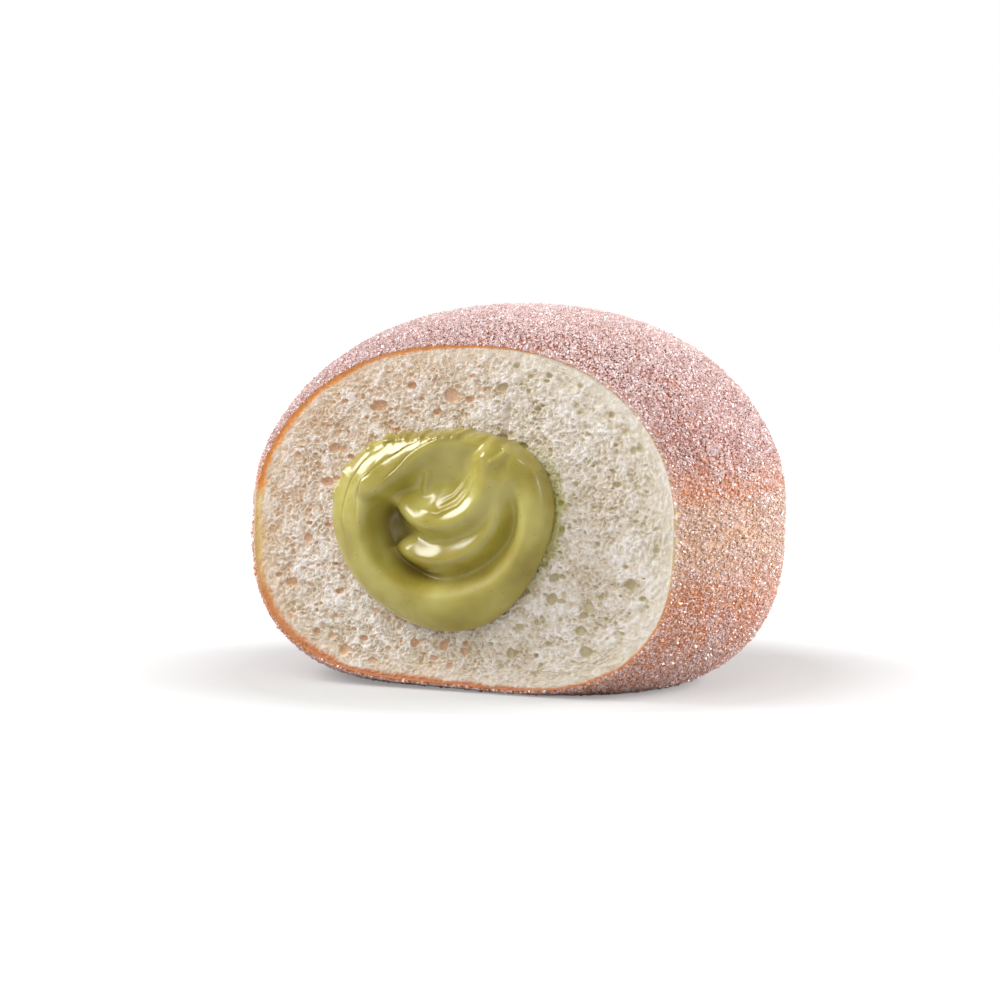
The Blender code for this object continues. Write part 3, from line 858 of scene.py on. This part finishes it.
def scattered(number, random):
    """Points and normals on the crust, even by area and thinned by how much sugar clings there."""
    tries = number * 8
    share = random.random(tries)
    level = np.sin((random.random(tries) - 0.5) * np.pi)
    step = 1e-4
    here = dough_form(kept_turn(share, level), level)
    turned = dough_form(kept_turn(share + step, level), level) - here
    raised_level = np.sin(np.arcsin(np.clip(level, -1, 1)) - step)
    raised = dough_form(kept_turn(share, raised_level), raised_level) - here
    normal = np.cross(raised, turned)
    area = np.linalg.norm(normal, axis=-1)
    normal = normal / np.maximum(area, 1e-15)[:, None]
    from_belt = (here[:, 2] - BELT_AT) / BELT_HALF_WIDTH
    cling = np.where(from_belt > 0.0, 1.0, 0.78) - 0.30 * np.exp(-(from_belt**4))
    cling *= 0.80 + 0.35 * noise(here, 9.0 * MM, 41, 2)
    # Little sugar is left on the low left side beside the slice.
    on_left = smooth_step((-here[:, 0] - 24.0 * MM) / (8.0 * MM))
    rubbed = on_left * smooth_step((-here[:, 1] - 8.0 * MM) / (6.0 * MM))
    cling *= 1.0 - 0.85 * rubbed * smooth_step((9.0 * MM - here[:, 2]) / (5.0 * MM))
    keep = random.random(tries) < area / area.max() * cling
    chosen = np.flatnonzero(keep)[:number]
    return here[chosen], normal[chosen]


def random_turns(number, random):
    """Evenly random rotations, from four normal numbers each, taken as a unit quaternion."""
    w, x, y, z = random.normal(size=(4, number))
    length = np.sqrt(w * w + x * x + y * y + z * z)
    w, x, y, z = w / length, x / length, y / length, z / length
    return np.stack(
        [
            np.stack([1 - 2 * (y * y + z * z), 2 * (x * y - z * w), 2 * (x * z + y * w)], -1),
            np.stack([2 * (x * y + z * w), 1 - 2 * (x * x + z * z), 2 * (y * z - x * w)], -1),
            np.stack([2 * (x * z - y * w), 2 * (y * z + x * w), 1 - 2 * (x * x + y * y)], -1),
        ],
        -2,
    )


def sugar_grains(name, number, least, most, corners, sides, seed):
    """Joined grains, each stretched, turned and part sunk, with one tint and one small map cell per grain."""
    random = np.random.default_rng(seed)
    spots, normals = scattered(number, random)
    number = len(spots)
    edges = random.uniform(least, most, (number, 1)) * random.uniform(0.7, 1.2, (number, 3))
    turned = (corners[None] * edges[:, None, :]) @ random_turns(number, random).transpose(0, 2, 1)
    raised = normals * edges.mean(1, keepdims=True) * random.uniform(0.0, 0.45, (number, 1))
    points = turned + (spots + raised)[:, None, :] + AXIS
    points[..., 2] += np.maximum(-points[..., 2].min(1), 0.0)[:, None]
    faces = (sides[None] + len(corners) * np.arange(number)[:, None, None]).reshape(-1, 3)
    piece = mesh_object(name, points.reshape(-1, 3), faces, merge=False)
    piece.data.shade_flat()
    tint = GRAIN_WHITE + (GRAIN_PINK - GRAIN_WHITE) * random.random((number, 1))
    heights, gains = np.array(CLEARER_AT).T
    clearer = np.interp(spots[:, 2:], heights * MM, gains)
    # The sugar lies in thicker and thinner patches, and is thinner beside the slice.
    beside_slice = np.exp(-(((spots[:, 1:2] + CUT_DEPTH) / (9.0 * MM)) ** 2))
    patches = 1.0 + 0.6 * noise(spots, 2.6 * MM, 42, 2)[:, None] + 0.22 * beside_slice
    through = np.clip(random.uniform(*LET_THROUGH, (number, 1)) * clearer * patches, 0.0, MOST_THROUGH)
    tint = tint * (1.0 - through) + crust_tone(spots[:, 2]) * through
    colours = np.ones((number, len(corners), 4), np.float32)
    colours[..., :3] = np.clip(tint, 0.0, 1.0)[:, None, :]
    piece.data.color_attributes.new("tint", "FLOAT_COLOR", "POINT").data.foreach_set("color", colours.ravel())
    across = int(np.ceil(np.sqrt(number)))
    cell = np.stack([np.arange(number) % across, np.arange(number) // across], -1)[:, None, :]
    corner = np.array([(0.3, 0.3), (0.7, 0.3), (0.5, 0.7)])
    cells = np.repeat((cell + corner) / across, len(sides), axis=0).astype(np.float32)
    piece.data.uv_layers.new(name="OFBake").data.foreach_set("uv", cells.ravel())
    return piece


crystal = Shader("sugar", Roughness=0.22, IOR=1.53)
crystal.join(crystal.add("Attribute", attribute_name="tint").outputs["Color"], "Base Color")
for seed, kind in enumerate(SUGAR_KINDS):
    sugar = sugar_grains(*kind, seed=50 + seed)
    sugar.data.materials.append(crystal.material)
    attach(sugar, "root")

# ---------------------------------------------------------------------------------------------------------
# Stage: a white table under soft studio lamps, and the camera a little above the table, to the right.
# ---------------------------------------------------------------------------------------------------------

scene = bpy.context.scene
scene.view_settings.view_transform = "Standard"

FLOOR_SIZE = 3.0
bpy.ops.mesh.primitive_plane_add(size=FLOOR_SIZE, location=(0.0, 0.0, 0.0))
floor = bpy.context.object
floor.name = "table"
ground = Shader("white_table", Roughness=0.9, Base_Color=(0.5, 0.5, 0.5, 1.0))
ground.surface.inputs["Specular IOR Level"].default_value = 0.0
seen = ground.add("LightPath").outputs["Is Camera Ray"]
from_middle = ground.add("VectorMath", {0: ground.place()}, operation="LENGTH").outputs["Value"]
# Seen by the camera, the table glows to white away from the doughnut, and less close to it.
glow = {"Value": from_middle, 1: 0.045, 2: 0.105, 3: 0.26, 4: 1.0}
brighter = ground.add("MapRange", glow).outputs["Result"]
ground.join(ground.math("MULTIPLY", seen, brighter), "Emission Strength")
ground.surface.inputs["Emission Color"].default_value = (1.0, 1.0, 1.0, 1.0)
floor.data.materials.append(ground.material)

world = bpy.data.worlds.new("studio")
scene.world = world
world.use_nodes = True
sky = world.node_tree.nodes["Background"]
sky.inputs["Color"].default_value = (1.0, 1.0, 1.0, 1.0)
path = world.node_tree.nodes.new("ShaderNodeLightPath")
direct = world.node_tree.nodes.new("ShaderNodeMath")
direct.operation = "MULTIPLY_ADD"
direct.inputs[1].default_value = 0.75
direct.inputs[2].default_value = 0.25
world.node_tree.links.new(path.outputs["Is Camera Ray"], direct.inputs[0])
world.node_tree.links.new(direct.outputs[0], sky.inputs["Strength"])


def lamp(name, watts, size, place, aim):
    """A square softbox at a place, turned to its aim."""
    light = bpy.data.lights.new(name, "AREA")
    light.energy = watts
    light.shape = "SQUARE"
    light.size = size
    stand = bpy.data.objects.new(name, light)
    scene.collection.objects.link(stand)
    stand.location = place
    stand.rotation_euler = (Vector(aim) - Vector(place)).to_track_quat("-Z", "Y").to_euler()
    return stand


middle = Vector((0.0, 0.0, 0.028))
key = lamp("key", 2.65, 0.70, (-0.04, -0.48, 0.44), middle)
key.visible_glossy = False  # it lights without a sheen, so that fewer lamps shine in the wet cream
lamp("side", 2.7, 0.34, (-0.46, -0.14, 0.36), middle)
lamp("rim", 3.3, 0.30, (0.44, 0.18, 0.22), middle)

CAMERA_DISTANCE = 0.4572
CAMERA_TURN = np.radians(25.1)
CAMERA_RISE = np.radians(4.5)
CAMERA_LEFT = 2.9 * MM  # the doughnut's axis is this far right of the picture's middle
camera_data = bpy.data.cameras.new("camera")
camera_data.lens = 108.0
camera_data.sensor_width = 36.0
camera_data.clip_start = 0.01
camera = bpy.data.objects.new("camera", camera_data)
scene.collection.objects.link(camera)
scene.camera = camera
to_camera = Vector(
    (
        np.sin(CAMERA_TURN) * np.cos(CAMERA_RISE),
        -np.cos(CAMERA_TURN) * np.cos(CAMERA_RISE),
        np.sin(CAMERA_RISE),
    )
)
aim = Vector(AXIS) + Vector((-np.cos(CAMERA_TURN), -np.sin(CAMERA_TURN), 0.0)) * CAMERA_LEFT
camera.location = aim + to_camera * CAMERA_DISTANCE
camera.rotation_euler = (-to_camera).to_track_quat("-Z", "Y").to_euler()
